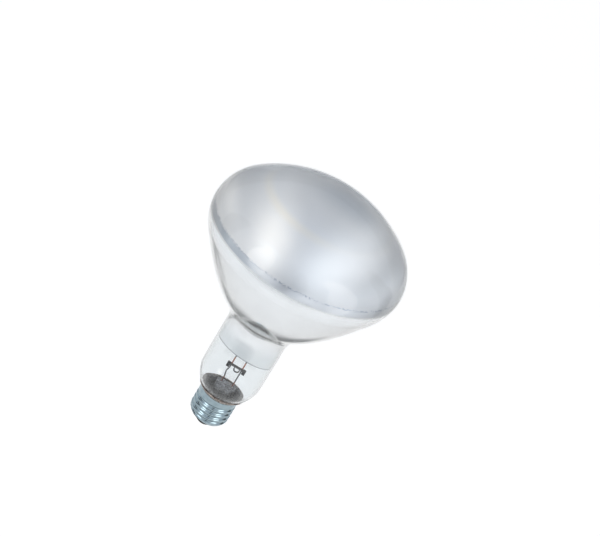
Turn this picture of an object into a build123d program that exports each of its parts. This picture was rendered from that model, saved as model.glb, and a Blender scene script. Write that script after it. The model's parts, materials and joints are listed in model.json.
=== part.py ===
from build123d import *
import math
import os

# Sun lamp with a parabolic reflector bulb and an Edison screw cap of the 27 mm size.
# Millimetres. The lamp stands cap down, its axis is Z, and the flat of the centre contact is at Z = 0.

# Blown glass bulb, outside
BULB_R = 63.5  # greatest radius
RIM_Z = 146.2  # height of the greatest radius
RIM_ROUND_R = 23.2  # rounding between bowl and face
FACE_R = 83.8  # radius of the domed face
BOWL_FOCUS = 16.8  # focal length of the parabolic bowl
NECK_R = 20.5
NECK_FILLET_R = 22.0  # hollow rounding between neck and bowl
SHOULDER_R = 21.9  # rounding at the foot of the neck
SEAL_R = 11.4  # short tube that goes into the cap
SEAL_Z = 22.2  # its lower end
SEAL_FILLET_R = 2.5  # hollow rounding above that tube
SEAL_FILLET_Z = 23.6  # height of that rounding's centre
GLASS_WALL = 1.2

# Silvering on the inside of the bowl and the upper neck
COAT_THICK = 0.2
COAT_GAP = 0.03
COAT_TOP_Z = 145.6  # upper edge, just below the greatest radius
COAT_NECK_Z = 61.4  # lower edge on the axis
COAT_TILT = 14.0  # the lower edge slants by this angle
COAT_TILT_TURN = -18.0  # and is highest this far round from the front

# Rolled screw shell
THREAD_PITCH = 3.629
THREAD_DEPTH = 1.095
CREST_R = 13.225
CREST_FLAT = 0.03  # taken off the crests in rolling
THREAD_TAPER = 0.02  # crests at the foot lie this far inside the skirt
THREAD_TURNS = 5
THREAD_END_Z = 21.0  # height where the groove starts to run out
RUNOUT_TURN = 0.35  # share of a turn that the run-out takes
SKIRT_Z = 23.1  # lower end of the smooth skirt, above the run-out
SHELL_TOP_Z = 25.7
SHELL_FOOT_Z = 4.2
SHELL_FOOT_R = 9.2
SHELL_FOOT_HEIGHT = 5.6  # height of the rounded foot
SHELL_WALL = 0.35

# Black glass insulator, centre contact and solder
CONTACT_R = 4.8
CONTACT_THICK = 0.9
CONTACT_EDGE_R = 0.4
INSULATOR_NOSE_R = 5.6
INSULATOR_TOP_Z = 7.0
WIRE_HOLE_R = 1.2
SOLDER_WELL_R = 2.2
SOLDER_WELL_DEPTH = 0.6
SOLDER_RECESS = 0.1

# Glass stem: flare, tube and pinch
STEM_R = 6.1
STEM_WALL = 1.0
FLARE_STRAIGHT = 0.8
FLARE_HEIGHT = 4.3
STEM_TUBE_TOP_Z = 27.6
PINCH_START_Z = 30.4
PINCH_TOP_Z = 33.0
PINCH_WIDTH = 13.4
PINCH_THICK = 4.6
PINCH_ROUND_R = 2.0
STEM_ROOF = 0.6  # glass between the tube's hollow and the top of the tube
EXHAUST_R = 2.0
EXHAUST_BORE_R = 1.3
EXHAUST_TIP_Z = 11.0
EXHAUST_SOCKET = 1.0
PUMP_HOLE_R = 1.0
PUMP_HOLE_RISE = 1.5  # above the exhaust tube

# Wires of the mount, which leans a little to one side of the axis
MOUNT_X = 0.8
LEAD_SPACING = 7.5
LEAD_R = 0.45
LEAD_BEND_R = 3.0
LEAD_KINK = 0.8  # outward kink of the left lead
LEAD_KINK_Z = 41.0
LEAD_KINK_HEIGHT = 4.0
LEAD_SOCKET = 2.0  # length of a support lead in the pinch
THIN_WIRE_R = 0.25  # seal wires and outer leads
WIRE_BEND_R = 0.8
SIDE_WIRE_Z = 21.2
SIDE_WIRE_TOP_Z = 24.3  # where it is welded inside the skirt
CENTRE_WIRE_Z = 9.2
CENTRE_WIRE_DROP = 1.2

# Bridge between the leads, with its clips and the getter
BRIDGE_Z = 47.0
BRIDGE_LENGTH = 12.2
BRIDGE_DEPTH = 1.4
BRIDGE_HEIGHT = 1.0
CLIP_LENGTH = 1.8
CLIP_HEIGHT = 3.0
CLIP_DROP = 0.9  # clip centre below the bridge
CLIP_SHEET = 0.35
GETTER_R = 1.75  # bow of the getter strip
GETTER_WIRE_R = 0.45
GETTER_X = 0.8  # from the mount's centre
GETTER_Z = 45.2  # height of its ends
STALK_R = 0.25

# Mica heat shield and the posts that stand on it
SHIELD_Z = 70.0
SHIELD_THICK = 0.5
SHIELD_EDGE_GAP = 0.8  # to the silvering
LEAD_SPREAD_Z = 74.0  # height where the leads start to spread
LEAD_SPREAD_RISE = 6.0
FRAME_LEAD_OUT = 9.5  # right lead beside the burner
POST_FOOT = 0.8  # wire that shows below the shield

# Quartz burner
BURNER_Z = 78.0
BURNER_R = 5.5
BURNER_WALL = 1.0
BURNER_BODY = 26.0
BURNER_END_ROUND_R = 3.0
BURNER_PINCH_LENGTH = 9.0
BURNER_PINCH_WIDTH = 8.0
BURNER_PINCH_THICK = 2.6
FOIL_LENGTH = 5.0
FOIL_WIDTH = 3.0
FOIL_THICK = 0.12
FOIL_INSET = 2.0  # foil end to pinch end
ELECTRODE_R = 0.35
ELECTRODE_HEAD_R = 0.9
ELECTRODE_HEAD = 3.0
ELECTRODE_REACH = 5.0  # into the burner's hollow
BURNER_LEAD_TAIL = 1.6
BURNER_LEAD_SIDE = 2.0
STRAP_SHEET = 0.3
STRAP_HEIGHT = 3.0
STRAP_INSET = 1.5
STRAP_OVERRUN = 0.9  # strap beyond the wire it is welded to

# Tungsten filament on its hooks
FILAMENT_RING_R = 12.0
FILAMENT_R = 0.6
FILAMENT_Z = 92.0
HOOK_R = 0.3
HOOK_BEND_R = 0.7
HOOK_COUNT = 5
HOOK_FIRST_ANGLE = 225.0
HOOK_STEP = 45.0

# Clearance between pieces that are fused, welded or cemented on the real lamp
FIT = 0.03


def solve(rising, low, high):
    """Argument between low and high where a rising function passes zero."""
    for _ in range(60):
        middle = (low + high) / 2
        if rising(middle) < 0:
            low = middle
        else:
            high = middle
    return (low + high) / 2


def polar(centre, radius, angle):
    """Point of a profile at an angle, in radians, on a circle."""
    return (centre[0] + radius * math.cos(angle), centre[1] + radius * math.sin(angle))


def arc(centre, radius, start, end):
    """Arc of a profile between two angles in radians."""
    middle = (start + end) / 2
    return ThreePointArc(*[polar(centre, radius, angle) for angle in (start, middle, end)])


def turned(edges):
    """Solid of revolution about the lamp's axis from a closed profile in radius and height."""
    return revolve(Plane.XZ * make_face(edges), Axis.Z)


def turned_polygon(*corners):
    """Solid of revolution from the corners of a straight-sided profile."""
    return turned(Polyline(*corners, close=True).edges())


def rod(radius, bottom, top, x=0.0, y=0.0):
    """Upright round rod."""
    return Pos(x, y, bottom) * Cylinder(radius, top - bottom, align=(Align.CENTER, Align.CENTER, Align.MIN))


def block(x_range, y_range, z_range):
    """Block between three pairs of limits."""
    sizes = [high - low for low, high in (x_range, y_range, z_range)]
    middle = [(high + low) / 2 for low, high in (x_range, y_range, z_range)]
    return Pos(*middle) * Box(*sizes)


def wire(radius, bend, *points):
    """Round wire along straight runs with rounded corners."""
    path = FilletPolyline(*points, radius=bend) if len(points) > 2 else Line(*points)
    return sweep(Plane(path @ 0, z_dir=path % 0) * Circle(radius), path)


# Places on the bulb's profile that follow from the driving sizes.
# A slope is the angle of the bowl's wall from the horizontal.
rim_centre = (BULB_R - RIM_ROUND_R, RIM_Z)
rim_slope = solve(
    lambda a: 2 * BOWL_FOCUS * math.tan(a) - RIM_ROUND_R * math.sin(a) - rim_centre[0], 0, math.radians(88)
)
neck_slope = solve(
    lambda a: 2 * BOWL_FOCUS * math.tan(a) - NECK_FILLET_R * (1 - math.sin(a)) - NECK_R, 0, math.radians(88)
)
bowl_top_r = 2 * BOWL_FOCUS * math.tan(rim_slope)
bowl_low_r = 2 * BOWL_FOCUS * math.tan(neck_slope)
bowl_top_z = RIM_Z - RIM_ROUND_R * math.cos(rim_slope)
bowl_low_z = bowl_top_z - (bowl_top_r**2 - bowl_low_r**2) / (4 * BOWL_FOCUS)
neck_fillet_centre = (NECK_R + NECK_FILLET_R, bowl_low_z - NECK_FILLET_R * math.cos(neck_slope))
face_centre = (0.0, RIM_Z - math.sqrt((FACE_R - RIM_ROUND_R) ** 2 - rim_centre[0] ** 2))
seal_fillet_centre = (SEAL_R + SEAL_FILLET_R, SEAL_FILLET_Z)
seal_across = seal_fillet_centre[0] - (NECK_R - SHOULDER_R)
seal_rise = math.sqrt((SHOULDER_R + SEAL_FILLET_R) ** 2 - seal_across**2)
shoulder_centre = (NECK_R - SHOULDER_R, SEAL_FILLET_Z + seal_rise)
seal_angle = math.atan2(seal_rise, -seal_across)
face_angle = math.atan2(RIM_Z - face_centre[1], rim_centre[0])


def bowl_curve(inset):
    """Parabola of the bowl between neck fillet and rim, set in along its normals."""
    low = Vector(*polar(neck_fillet_centre, NECK_FILLET_R + inset, math.pi / 2 + neck_slope))
    high = Vector(*polar(rim_centre, RIM_ROUND_R - inset, rim_slope - math.pi / 2))
    low_way = Vector(math.cos(neck_slope), math.sin(neck_slope))
    high_way = Vector(math.cos(rim_slope), math.sin(rim_slope))
    reach = (high - low).cross(high_way).Z / low_way.cross(high_way).Z
    return Bezier(low, low + low_way * reach, high)


def bulb_outline(inset):
    """Edges of the bulb's profile from the seal to the apex, set in from the outer glass."""
    seal_arc = arc(seal_fillet_centre, SEAL_FILLET_R + inset, math.pi, seal_angle)
    neck_line = Line((NECK_R - inset, shoulder_centre[1]), (NECK_R - inset, neck_fillet_centre[1]))
    return [
        Line((SEAL_R - inset, SEAL_Z), seal_arc @ 0),
        seal_arc,
        arc(shoulder_centre, SHOULDER_R - inset, seal_angle - math.pi, 0),
        neck_line,
        arc(neck_fillet_centre, NECK_FILLET_R + inset, math.pi, math.pi / 2 + neck_slope),
        bowl_curve(inset),
        arc(rim_centre, RIM_ROUND_R - inset, rim_slope - math.pi / 2, face_angle),
        arc(face_centre, FACE_R - inset, face_angle, math.pi / 2),
    ]


def bulb_layer(outer_inset, inner_inset):
    """Thin-walled body that follows the bulb between two insets, open at the seal."""
    outer = bulb_outline(outer_inset)
    inner = bulb_outline(inner_inset)
    foot = Line(outer[0] @ 0, inner[0] @ 0)
    apex = Line(outer[-1] @ 1, inner[-1] @ 1)
    return turned(outer + inner + [foot, apex])


def reflector_coating():
    """Silvering from a slanting edge in the neck to a level edge past the rim."""
    inset = GLASS_WALL + COAT_GAP
    layer = split(bulb_layer(inset, inset + COAT_THICK), Plane((0, 0, COAT_TOP_Z)), Keep.BOTTOM)
    slant = Rotation(0, 0, COAT_TILT_TURN) * Rotation(-COAT_TILT, 0, 0)
    return split(layer, Pos(0, 0, COAT_NECK_Z) * slant * Plane.XY, Keep.TOP)


# Screw cap
shell_r = CREST_R - CREST_FLAT
thread_round_r = THREAD_DEPTH / 4 + THREAD_PITCH**2 / (16 * THREAD_DEPTH)
root_r = CREST_R - THREAD_DEPTH
foot_top_r = shell_r - THREAD_TAPER
foot_inward = foot_top_r - SHELL_FOOT_R
foot_round_r = (foot_inward**2 + SHELL_FOOT_HEIGHT**2) / (2 * foot_inward)
foot_centre = (foot_top_r - foot_round_r, SHELL_FOOT_Z + SHELL_FOOT_HEIGHT)
foot_angle = math.atan2(-SHELL_FOOT_HEIGHT, SHELL_FOOT_R - foot_centre[0])


def shell_blank(inset, overrun):
    """Filled cap before threading, with a rounded foot, set in by the wall and run past both ends."""
    foot = arc(foot_centre, foot_round_r - inset, foot_angle, 0)
    low = SHELL_FOOT_Z - overrun
    top = SHELL_TOP_Z + overrun
    skirt_r = shell_r - inset
    sides = Polyline(foot @ 1, (skirt_r, SKIRT_Z), (skirt_r, top), (0, top), (0, low), ((foot @ 0).X, low))
    edges = [foot] + sides.edges()
    if overrun > 0:
        edges = edges + [Line(sides @ 1, foot @ 0)]
    return turned(edges)


def groove_section(inset):
    """Rounded root of the thread with half a crest on each side, open to the outside, in radius and height."""
    outside = CREST_R + THREAD_DEPTH
    flank = math.atan2(THREAD_PITCH / 2, THREAD_DEPTH - 2 * thread_round_r)
    crest_end = -math.asin(2 * CREST_FLAT / thread_round_r) * 2
    root = arc((root_r + thread_round_r, 0), thread_round_r + inset, flank, 2 * math.pi - flank)
    crest_r = CREST_R - thread_round_r
    upper = arc((crest_r, THREAD_PITCH / 2), thread_round_r - inset, flank - math.pi, crest_end)
    lower = arc((crest_r, -THREAD_PITCH / 2), thread_round_r - inset, math.pi - flank, -crest_end)
    rim = Polyline(upper @ 1, (outside, (upper @ 1).Y), (outside, (lower @ 1).Y), lower @ 1)
    return make_face([root, upper, lower] + rim.edges())


def threaded(blank, inset):
    """Blank with the helical groove cut into it, running out into the skirt."""
    start_z = THREAD_END_Z - THREAD_TURNS * THREAD_PITCH
    section = Plane.XZ * groove_section(inset)
    winding = Helix(THREAD_PITCH, THREAD_TURNS * THREAD_PITCH, root_r, center=(0, 0, start_z))
    rise = RUNOUT_TURN * THREAD_PITCH
    lift = math.atan((THREAD_DEPTH + inset) * 1.1 / rise)
    slant_pitch = THREAD_PITCH / math.cos(lift)
    runout = Helix(slant_pitch, rise, root_r, center=(0, 0, THREAD_END_Z), cone_angle=math.degrees(lift))
    groove = sweep(Pos(0, 0, start_z) * section, winding, is_frenet=True)
    tail = sweep(Pos(0, 0, THREAD_END_Z) * section, runout, is_frenet=True)
    return blank - groove - tail


def screw_shell():
    """Thin rolled shell: threaded outside, and inside at one wall's distance."""
    return threaded(shell_blank(0, 0), 0) - threaded(shell_blank(SHELL_WALL, 1), SHELL_WALL)


def cap_insulator():
    """Black glass button that the shell's foot is closed round, with a hole for the centre wire."""
    body_r = root_r - SHELL_WALL - FIT
    round_r = foot_round_r - SHELL_WALL - FIT
    body_angle = -math.acos((body_r - foot_centre[0]) / round_r)
    seat = arc(foot_centre, round_r, foot_angle, body_angle)
    sides = Polyline(
        seat @ 1,
        (body_r, INSULATOR_TOP_Z),
        (WIRE_HOLE_R, INSULATOR_TOP_Z),
        (WIRE_HOLE_R, CONTACT_THICK + FIT),
        (INSULATOR_NOSE_R, CONTACT_THICK + FIT),
        seat @ 0,
    )
    return turned([seat] + sides.edges())


def contact_plate():
    """Brass disc with a well for the solder and a rounded edge."""
    plate = turned_polygon(
        (SOLDER_WELL_R, 0),
        (CONTACT_R, 0),
        (CONTACT_R, CONTACT_THICK),
        (WIRE_HOLE_R, CONTACT_THICK),
        (WIRE_HOLE_R, SOLDER_WELL_DEPTH),
    )
    edge = plate.edges().filter_by(GeomType.CIRCLE).group_by(Axis.Z)[0].sort_by(SortBy.RADIUS)[-1]
    return fillet(edge, CONTACT_EDGE_R)


def centre_solder():
    """Solder that fills the contact's well and holds the end of the centre wire."""
    well_slope = (SOLDER_WELL_R - WIRE_HOLE_R) / SOLDER_WELL_DEPTH
    plug_r = WIRE_HOLE_R - FIT
    solder = turned_polygon(
        (0, SOLDER_RECESS),
        (SOLDER_WELL_R - well_slope * SOLDER_RECESS - FIT, SOLDER_RECESS),
        (plug_r, SOLDER_WELL_DEPTH),
        (plug_r, CONTACT_THICK),
        (0, CONTACT_THICK),
    )
    return solder - rod(THIN_WIRE_R + FIT, centre_wire_end_z - FIT, CONTACT_THICK)


def capping_cement():
    """Cement between the shell's skirt and the glass, with a channel for the side wire against the skirt."""
    outer_r = shell_r - SHELL_WALL - FIT
    ring = rod(outer_r, SKIRT_Z, SHELL_TOP_Z) - turned(cement_core())
    return ring - rod(THIN_WIRE_R + FIT, SEAL_Z, SIDE_WIRE_TOP_Z + FIT, x=-side_wire_r)


def cement_core():
    """Closed profile of the glass foot that the cement sits round."""
    outline = bulb_outline(-FIT)[:3]
    top = outline[-1] @ 1
    sides = Polyline(top, (0, top.Y), (0, SEAL_Z), outline[0] @ 0)
    return outline + sides.edges()


def glass_stem():
    """Flare sealed to the bulb, tube, and flat pinch that holds the wires."""
    flare_r = SEAL_R - GLASS_WALL - FIT
    run = flare_r - STEM_R
    round_r = (run**2 + FLARE_HEIGHT**2) / (2 * run)
    bend_z = SEAL_Z + FLARE_STRAIGHT + FLARE_HEIGHT
    centre = (STEM_R + round_r, bend_z)
    start = math.atan2(-FLARE_HEIGHT, flare_r - centre[0])
    outer = arc(centre, round_r, start + 2 * math.pi, math.pi)
    inner = arc(centre, round_r + STEM_WALL, start + 2 * math.pi, math.pi)
    hollow_z = STEM_TUBE_TOP_Z - STEM_ROOF
    sides = [
        Line((flare_r, SEAL_Z), outer @ 0),
        Polyline(outer @ 1, (STEM_R, STEM_TUBE_TOP_Z), (0, STEM_TUBE_TOP_Z), (0, hollow_z)),
        Polyline((0, hollow_z), (STEM_R - STEM_WALL, hollow_z), inner @ 1),
        Polyline(inner @ 0, ((inner @ 0).X, SEAL_Z), (flare_r, SEAL_Z)),
    ]
    tube = turned([outer, inner] + [edge for side in sides for edge in side.edges()])
    foot = Pos(0, 0, STEM_TUBE_TOP_Z) * Circle(STEM_R)
    flat = Pos(MOUNT_X, 0, PINCH_START_Z) * RectangleRounded(PINCH_WIDTH, PINCH_THICK, PINCH_ROUND_R)
    stem = tube + loft([foot, flat]) + extrude(flat, PINCH_TOP_Z - PINCH_START_Z)
    for x in lead_x.values():
        stem -= rod(THIN_WIRE_R + FIT, hollow_z - FIT, lead_foot_z, x)
        stem -= rod(LEAD_R + FIT, lead_foot_z - FIT, PINCH_TOP_Z + FIT, x)
    socket_z = hollow_z + EXHAUST_SOCKET
    pump_z = socket_z + PUMP_HOLE_RISE
    stem -= rod(EXHAUST_R + FIT, hollow_z - FIT, socket_z)
    stem -= rod(EXHAUST_BORE_R, socket_z - FIT, pump_z)
    pump_way = Pos(0, 0, pump_z) * Rotation(-90, 0, 0)
    return stem - pump_way * Cylinder(PUMP_HOLE_R, STEM_R, align=(Align.CENTER, Align.CENTER, Align.MIN))


def exhaust_tube():
    """Pumping tube below the pinch, melted shut at its tip."""
    top = STEM_TUBE_TOP_Z - STEM_ROOF + EXHAUST_SOCKET - FIT
    tip = arc((0, EXHAUST_TIP_Z + EXHAUST_R), EXHAUST_R, -math.pi / 2, 0)
    bore_low = arc((0, EXHAUST_TIP_Z + EXHAUST_R * 2), EXHAUST_BORE_R, -math.pi / 2, 0)
    sides = [
        Polyline(tip @ 1, (EXHAUST_R, top), (EXHAUST_BORE_R, top), bore_low @ 1),
        Line(bore_low @ 0, tip @ 0),
    ]
    return turned([tip, bore_low] + [edge for side in sides for edge in side.edges()])


def outer_lead_centre():
    """Wire from the right seal down to the centre contact."""
    x = lead_x["right"]
    low_z = CENTRE_WIRE_Z - CENTRE_WIRE_DROP
    return wire(
        THIN_WIRE_R,
        WIRE_BEND_R,
        (x, 0, seal_foot_z),
        (x, 0, CENTRE_WIRE_Z),
        (0, 0, low_z),
        (0, 0, centre_wire_end_z),
    )


def outer_lead_side():
    """Wire from the left seal, under the flare and up inside the skirt, where it is welded."""
    x = lead_x["left"]
    return wire(
        THIN_WIRE_R,
        WIRE_BEND_R,
        (x, 0, seal_foot_z),
        (x, 0, SIDE_WIRE_Z),
        (-side_wire_r, 0, SIDE_WIRE_Z),
        (-side_wire_r, 0, SIDE_WIRE_TOP_Z),
    )


def support_lead_left():
    """Stout wire from the pinch through bridge and shield to the filament's first end."""
    x = lead_x["left"]
    out = MOUNT_X - FILAMENT_RING_R
    top = FILAMENT_Z + FILAMENT_R + LEAD_R
    return wire(
        LEAD_R,
        LEAD_BEND_R,
        (x, 0, lead_foot_z),
        (x, 0, LEAD_KINK_Z - LEAD_KINK_HEIGHT),
        (x - LEAD_KINK, 0, LEAD_KINK_Z),
        (x, 0, LEAD_KINK_Z + LEAD_KINK_HEIGHT),
        (x, 0, LEAD_SPREAD_Z),
        (out, 0, LEAD_SPREAD_Z + LEAD_SPREAD_RISE),
        (out, 0, top),
    )


def support_lead_right():
    """Stout wire from the pinch through bridge and shield, up beside the burner to its upper strap."""
    x = lead_x["right"]
    return wire(
        LEAD_R,
        LEAD_BEND_R,
        (x, 0, lead_foot_z),
        (x, 0, LEAD_SPREAD_Z),
        (frame_lead_x, 0, LEAD_SPREAD_Z + LEAD_SPREAD_RISE),
        (frame_lead_x, 0, burner_top_z),
    )


def lead_bridge():
    """Insulating bar that both leads pass through."""
    bar = Pos(MOUNT_X, 0, BRIDGE_Z) * Box(BRIDGE_LENGTH, BRIDGE_DEPTH, BRIDGE_HEIGHT)
    for x in lead_x.values():
        bar -= rod(LEAD_R + FIT, BRIDGE_Z - BRIDGE_HEIGHT, BRIDGE_Z + BRIDGE_HEIGHT, x)
    return bar


def bridge_clip(side):
    """Sheet folded round one end of the bridge; side is -1 on the left and 1 on the right."""
    end = MOUNT_X + side * (BRIDGE_LENGTH / 2 + FIT)
    depth = BRIDGE_DEPTH / 2 + FIT
    z_range = (BRIDGE_Z - CLIP_DROP - CLIP_HEIGHT / 2, BRIDGE_Z - CLIP_DROP + CLIP_HEIGHT / 2)
    mouth = end - side * CLIP_LENGTH
    back = end + side * CLIP_SHEET
    fold = block(sorted((mouth, back)), (-depth - CLIP_SHEET, depth + CLIP_SHEET), z_range)
    return fold - block(sorted((mouth, end)), (-depth, depth), z_range)


def getter_bow():
    """Strip that held the getter, bowed downwards under the bridge."""
    bow = Pos(MOUNT_X + GETTER_X, 0, GETTER_Z) * (Plane.XZ * CenterArc((0, 0), GETTER_R, 180, 180))
    return sweep(Plane(bow @ 0, z_dir=bow % 0) * Circle(GETTER_WIRE_R), bow)


def getter_stalk(side):
    """Wire that hangs one end of the getter from the bridge; side is -1 on the left and 1 on the right."""
    x = MOUNT_X + GETTER_X + side * GETTER_R
    return rod(STALK_R, GETTER_Z + FIT, BRIDGE_Z - BRIDGE_HEIGHT / 2 - FIT, x)


def heat_shield():
    """Mica disc that the leads, the burner's post and the hooks pass through."""
    edge_r = NECK_R - GLASS_WALL - COAT_GAP - COAT_THICK - SHIELD_EDGE_GAP
    disc = rod(edge_r, SHIELD_Z, SHIELD_Z + SHIELD_THICK)
    below = SHIELD_Z - SHIELD_THICK
    above = SHIELD_Z + 2 * SHIELD_THICK
    for x in lead_x.values():
        disc -= rod(LEAD_R + FIT, below, above, x)
    disc -= rod(LEAD_R + FIT, below, above, post_place.X, post_place.Y)
    for angle in hook_angles:
        foot = mount_point(hook_ring_r, angle)
        disc -= rod(HOOK_R + FIT, below, above, foot.X, foot.Y)
    return disc


def burner_post():
    """Post on the shield that carries the burner's lower strap and the filament's last end."""
    top = FILAMENT_Z + FILAMENT_R + LEAD_R
    return rod(LEAD_R, SHIELD_Z - POST_FOOT, top, post_place.X, post_place.Y)


def burner_tube():
    """Quartz tube with rounded ends and two flat pinches, hollow for the electrodes and foils."""
    low, high = burner_body_z
    body = fillet(rod(BURNER_R, low, high, MOUNT_X).edges().filter_by(GeomType.CIRCLE), BURNER_END_ROUND_R)
    hollow_round = BURNER_END_ROUND_R - BURNER_WALL
    hollow = rod(BURNER_R - BURNER_WALL, low + BURNER_WALL, high - BURNER_WALL, MOUNT_X)
    hollow = fillet(hollow.edges().filter_by(GeomType.CIRCLE), hollow_round)
    half_width = BURNER_PINCH_WIDTH / 2
    half_thick = BURNER_PINCH_THICK / 2
    pinches = block(
        (MOUNT_X - half_width, MOUNT_X + half_width), (-half_thick, half_thick), (BURNER_Z, burner_top_z)
    )
    pinches = fillet(pinches.edges().filter_by(Axis.Z), half_thick * 0.6)
    tube = body + pinches - hollow
    bore_r = ELECTRODE_R + FIT
    for end in ("lower", "upper"):
        tube -= burner_rod(end, bore_r, FOIL_INSET + FOIL_LENGTH, BURNER_PINCH_LENGTH + 2 * BURNER_WALL)
        tube -= burner_rod(end, bore_r, -FIT, FOIL_INSET)
        tube -= burner_foil(end, FIT)
    return tube


def burner_rod(end, radius, start, stop):
    """Rod on the burner's axis, between two distances in from one of its ends."""
    if end == "lower":
        return rod(radius, BURNER_Z + start, BURNER_Z + stop, MOUNT_X)
    return rod(radius, burner_top_z - stop, burner_top_z - start, MOUNT_X)


def burner_foil(end, gap):
    """Sealing foil in a pinch, grown by a gap."""
    start = FOIL_INSET - gap
    stop = FOIL_INSET + FOIL_LENGTH + gap
    z_range = (BURNER_Z + start, BURNER_Z + stop)
    if end == "upper":
        z_range = (burner_top_z - stop, burner_top_z - start)
    half_width = FOIL_WIDTH / 2 + gap
    half_thick = FOIL_THICK / 2 + gap
    return block((MOUNT_X - half_width, MOUNT_X + half_width), (-half_thick, half_thick), z_range)


def electrode(end):
    """Tungsten rod from the foil into the burner, with its wound head."""
    start = FOIL_INSET + FOIL_LENGTH + FIT
    stop = BURNER_PINCH_LENGTH + BURNER_WALL + ELECTRODE_REACH
    head = burner_rod(end, ELECTRODE_HEAD_R, stop - ELECTRODE_HEAD, stop)
    return burner_rod(end, ELECTRODE_R, start, stop) + head


def burner_lead(end):
    """Wire from the foil out of the pinch, bent back against the strap."""
    side = 1 if end == "lower" else -1
    end_z = BURNER_Z if end == "lower" else burner_top_z
    strap_z = end_z + side * (STRAP_INSET + STRAP_HEIGHT)
    tail_z = end_z - side * BURNER_LEAD_TAIL
    x = MOUNT_X + side * BURNER_LEAD_SIDE
    y = side * (strap_half_thick + ELECTRODE_R + FIT)
    return wire(
        ELECTRODE_R,
        WIRE_BEND_R,
        (MOUNT_X, 0, end_z + side * (FOIL_INSET - FIT)),
        (MOUNT_X, 0, tail_z),
        (x, y, tail_z),
        (x, y, strap_z),
    )


def strap_band(z_range):
    """Sheet band round a pinch of the burner."""
    band_width = BURNER_PINCH_WIDTH / 2 + FIT
    band_thick = BURNER_PINCH_THICK / 2 + FIT
    outer = block(
        (MOUNT_X - band_width - STRAP_SHEET, MOUNT_X + band_width + STRAP_SHEET),
        (-strap_half_thick, strap_half_thick),
        z_range,
    )
    return outer - block((MOUNT_X - band_width, MOUNT_X + band_width), (-band_thick, band_thick), z_range)


def burner_strap_lower():
    """Band on the lower pinch with an arm back to the post."""
    z_range = (BURNER_Z + STRAP_INSET, BURNER_Z + STRAP_INSET + STRAP_HEIGHT)
    arm_x = post_place.X - LEAD_R - FIT
    y_range = (strap_half_thick - STRAP_SHEET, post_place.Y + STRAP_OVERRUN)
    arm = block((arm_x - STRAP_SHEET, arm_x), y_range, z_range)
    return strap_band(z_range) + arm


def burner_strap_upper():
    """Band on the upper pinch with an arm sideways to the right lead."""
    z_range = (burner_top_z - STRAP_INSET - STRAP_HEIGHT, burner_top_z - STRAP_INSET)
    arm_y = LEAD_R + FIT
    arm_x = MOUNT_X + BURNER_PINCH_WIDTH / 2 + FIT
    arm = block((arm_x, frame_lead_x + STRAP_OVERRUN), (arm_y, arm_y + STRAP_SHEET), z_range)
    return strap_band(z_range) + arm


def filament():
    """Coiled tungsten ballast, three quarters of a ring from the left lead to the burner's post."""
    gap = math.degrees((LEAD_R + FIT) / FILAMENT_RING_R)
    ring = Pos(MOUNT_X, 0, FILAMENT_Z) * CenterArc((0, 0), FILAMENT_RING_R, 180 + gap, 270 - 2 * gap)
    return sweep(Plane(ring @ 0, z_dir=ring % 0) * Circle(FILAMENT_R), ring)


def filament_hook(angle):
    """Wire that stands in the shield and hooks over the filament."""
    foot = mount_point(hook_ring_r, angle)
    tip = mount_point(FILAMENT_RING_R - FILAMENT_R, angle)
    top = FILAMENT_Z + FILAMENT_R + HOOK_R + FIT
    return wire(
        HOOK_R,
        HOOK_BEND_R,
        (foot.X, foot.Y, SHIELD_Z - POST_FOOT),
        (foot.X, foot.Y, top),
        (tip.X, tip.Y, top),
    )


def mount_point(radius, angle):
    """Plan position at an angle in degrees round the mount's centre."""
    return Vector(MOUNT_X, 0) + Vector(radius, 0).rotate(Axis.Z, angle)


# Places that several pieces of cap and mount share
lead_x = {"left": MOUNT_X - LEAD_SPACING / 2, "right": MOUNT_X + LEAD_SPACING / 2}
lead_foot_z = PINCH_TOP_Z - LEAD_SOCKET
seal_foot_z = STEM_TUBE_TOP_Z
side_wire_r = shell_r - SHELL_WALL - FIT - THIN_WIRE_R
centre_wire_end_z = SOLDER_RECESS + THIN_WIRE_R
burner_body_z = (BURNER_Z + BURNER_PINCH_LENGTH, BURNER_Z + BURNER_PINCH_LENGTH + BURNER_BODY)
burner_top_z = burner_body_z[1] + BURNER_PINCH_LENGTH
strap_half_thick = BURNER_PINCH_THICK / 2 + FIT + STRAP_SHEET
frame_lead_x = MOUNT_X + FRAME_LEAD_OUT
post_place = mount_point(FILAMENT_RING_R, 90)
hook_ring_r = FILAMENT_RING_R + FILAMENT_R + HOOK_R + FIT
hook_angles = [HOOK_FIRST_ANGLE + HOOK_STEP * k for k in range(HOOK_COUNT)]

parts = {
    "glass_bulb": bulb_layer(0, GLASS_WALL),
    "reflector_coating": reflector_coating(),
    "glass_stem": glass_stem(),
    "exhaust_tube": exhaust_tube(),
    "screw_shell": screw_shell(),
    "cap_insulator": cap_insulator(),
    "contact_plate": contact_plate(),
    "centre_solder": centre_solder(),
    "capping_cement": capping_cement(),
    "outer_lead_centre": outer_lead_centre(),
    "outer_lead_side": outer_lead_side(),
    "support_lead_left": support_lead_left(),
    "support_lead_right": support_lead_right(),
    "lead_bridge": lead_bridge(),
    "bridge_clip_left": bridge_clip(-1),
    "bridge_clip_right": bridge_clip(1),
    "getter_bow": getter_bow(),
    "getter_stalk_left": getter_stalk(-1),
    "getter_stalk_right": getter_stalk(1),
    "heat_shield": heat_shield(),
    "burner_post": burner_post(),
    "burner_tube": burner_tube(),
    "burner_strap_lower": burner_strap_lower(),
    "burner_strap_upper": burner_strap_upper(),
    "filament": filament(),
}
for side, x in lead_x.items():
    parts[f"seal_wire_{side}"] = rod(THIN_WIRE_R, seal_foot_z + FIT, lead_foot_z - FIT, x)
for end in ("lower", "upper"):
    parts[f"electrode_{end}"] = electrode(end)
    parts[f"foil_{end}"] = burner_foil(end, 0)
    parts[f"burner_lead_{end}"] = burner_lead(end)
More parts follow.
